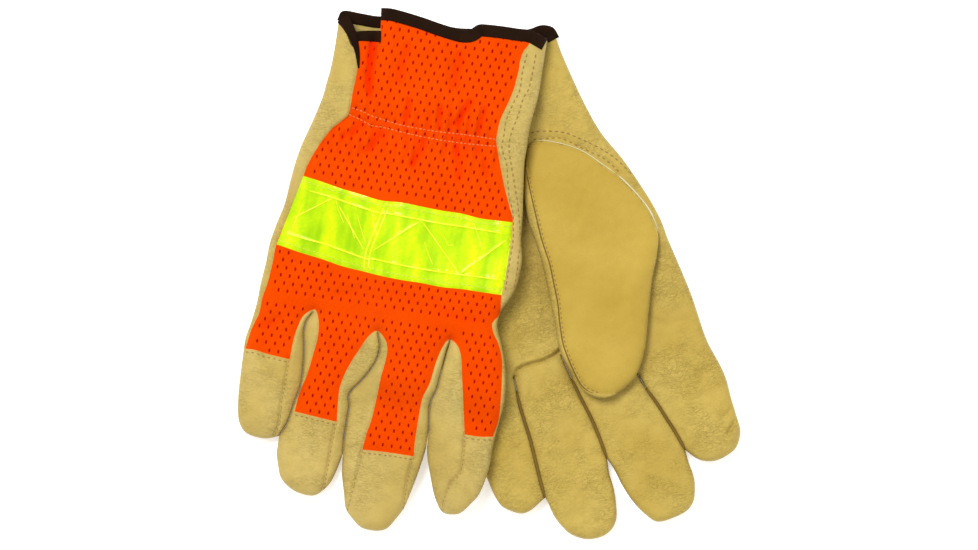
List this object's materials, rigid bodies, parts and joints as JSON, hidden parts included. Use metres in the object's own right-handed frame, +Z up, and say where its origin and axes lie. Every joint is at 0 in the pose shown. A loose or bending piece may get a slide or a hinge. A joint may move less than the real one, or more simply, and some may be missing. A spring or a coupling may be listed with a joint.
{
  "type": "work gloves",
  "caption": "Pair of hollow leather driver-style work gloves with mesh backs and reflective bands, one palm up and one back up, with folding fingers.",
  "frame": {"origin": "middle of the pair's footprint, on the surface it lies on", "axes": "+X towards the left glove's thumb side, +Y towards the cuffs, +Z up"},
  "size_m": [0.2524, 0.2744, 0.0326],
  "materials": {
    "grain_leather": "matt grain leather, light tan",
    "thumb_leather": "smooth grain leather, slightly yellower tan",
    "orange_mesh": "perforated knitted fabric, bright orange",
    "reflective_tape": "glossy ribbed tape, yellow-green",
    "cuff_binding": "dark brown woven binding",
    "elastic_band": "off-white woven elastic"
  },
  "bodies": {
    "left_glove": {"left_back_mesh": "orange_mesh", "left_cuff_binding": "cuff_binding", "left_index_side_strip": "grain_leather", "left_outer_edge_leather": "grain_leather", "left_palm_leather": "grain_leather", "left_reflective_tape": "reflective_tape", "left_thumb_wing": "grain_leather", "left_wrist_elastic": "elastic_band", "left_little_back_mesh": "orange_mesh", "left_little_inner_fourchette": "grain_leather", "left_little_palm_side": "grain_leather", "left_little_tip_cap": "grain_leather"},
    "left_ring_finger": {"left_ring_back_mesh": "orange_mesh", "left_ring_inner_fourchette": "grain_leather", "left_ring_outer_fourchette": "grain_leather", "left_ring_palm_side": "grain_leather", "left_ring_tip_cap": "grain_leather"},
    "left_middle_finger": {"left_middle_back_mesh": "orange_mesh", "left_middle_inner_fourchette": "grain_leather", "left_middle_outer_fourchette": "grain_leather", "left_middle_palm_side": "grain_leather", "left_middle_tip_cap": "grain_leather"},
    "left_index_finger": {"left_index_back_mesh": "orange_mesh", "left_index_outer_fourchette": "grain_leather", "left_index_outer_side": "grain_leather", "left_index_palm_side": "grain_leather", "left_index_tip_cap": "grain_leather"},
    "left_thumb": {"left_thumb_outer_panel": "thumb_leather", "left_thumb_inner_panel": "thumb_leather", "left_thumb_welt": "grain_leather", "left_thumb_side": "grain_leather"},
    "right_glove": {"right_back_mesh": "orange_mesh", "right_cuff_binding": "cuff_binding", "right_index_side_strip": "grain_leather", "right_outer_edge_leather": "grain_leather", "right_palm_leather": "grain_leather", "right_reflective_tape": "reflective_tape", "right_thumb_inner_panel": "thumb_leather", "right_thumb_outer_panel": "thumb_leather", "right_wrist_elastic": "elastic_band"},
    "right_little_finger": {"right_little_back_mesh": "orange_mesh", "right_little_inner_fourchette": "grain_leather", "right_little_palm_side": "grain_leather", "right_little_tip_cap": "grain_leather"},
    "right_ring_finger": {"right_ring_back_mesh": "orange_mesh", "right_ring_inner_fourchette": "grain_leather", "right_ring_outer_fourchette": "grain_leather", "right_ring_palm_side": "grain_leather", "right_ring_tip_cap": "grain_leather"},
    "right_middle_finger": {"right_middle_back_mesh": "orange_mesh", "right_middle_inner_fourchette": "grain_leather", "right_middle_outer_fourchette": "grain_leather", "right_middle_palm_side": "grain_leather", "right_middle_tip_cap": "grain_leather"},
    "right_index_finger": {"right_index_back_mesh": "orange_mesh", "right_index_outer_fourchette": "grain_leather", "right_index_outer_side": "grain_leather", "right_index_palm_side": "grain_leather", "right_index_tip_cap": "grain_leather"}
  },
  "joints": [
    {"name": "right_glove_lift", "type": "slide", "parent": "left_glove", "child": "right_glove", "axis": [0, 0, 1], "range_m": [0, 0.1]},
    {"name": "right_little_fold", "type": "hinge", "parent": "right_glove", "child": "right_little_finger", "pos_m": [-0.10415, -0.01801, 0.0144], "axis": [-0.9888, 0.1495, 0], "range_deg": [0, 60]},
    {"name": "right_ring_fold", "type": "hinge", "parent": "right_glove", "child": "right_ring_finger", "pos_m": [-0.07152, -0.02295, 0.0276], "axis": [-0.9888, 0.1495, 0], "range_deg": [0, 60]},
    {"name": "right_middle_fold", "type": "hinge", "parent": "right_glove", "child": "right_middle_finger", "pos_m": [-0.03692, -0.02818, 0.0324], "axis": [-0.9888, 0.1495, 0], "range_deg": [0, 60]},
    {"name": "right_index_fold", "type": "hinge", "parent": "right_glove", "child": "right_index_finger", "pos_m": [-0.00627, -0.03282, 0.0324], "axis": [-0.9888, 0.1495, 0], "range_deg": [0, 60]},
    {"name": "left_ring_fold", "type": "hinge", "parent": "left_glove", "child": "left_ring_finger", "pos_m": [0.02467, -0.04834, 0.0129], "axis": [-0.9397, -0.342, 0], "range_deg": [0, 70]},
    {"name": "left_middle_fold", "type": "hinge", "parent": "left_glove", "child": "left_middle_finger", "pos_m": [0.06653, -0.06397, 0.0129], "axis": [-0.9397, -0.342, 0], "range_deg": [0, 70]},
    {"name": "left_index_fold", "type": "hinge", "parent": "left_glove", "child": "left_index_finger", "pos_m": [0.09694, -0.04226, 0.0129], "axis": [-0.9397, -0.342, 0], "range_deg": [0, 70]},
    {"name": "left_thumb_open", "type": "hinge", "parent": "left_glove", "child": "left_thumb", "pos_m": [0.04113, 0.04385, 0.0253], "axis": [-0.9397, -0.342, 0], "range_deg": [0, 75]}
  ]
}
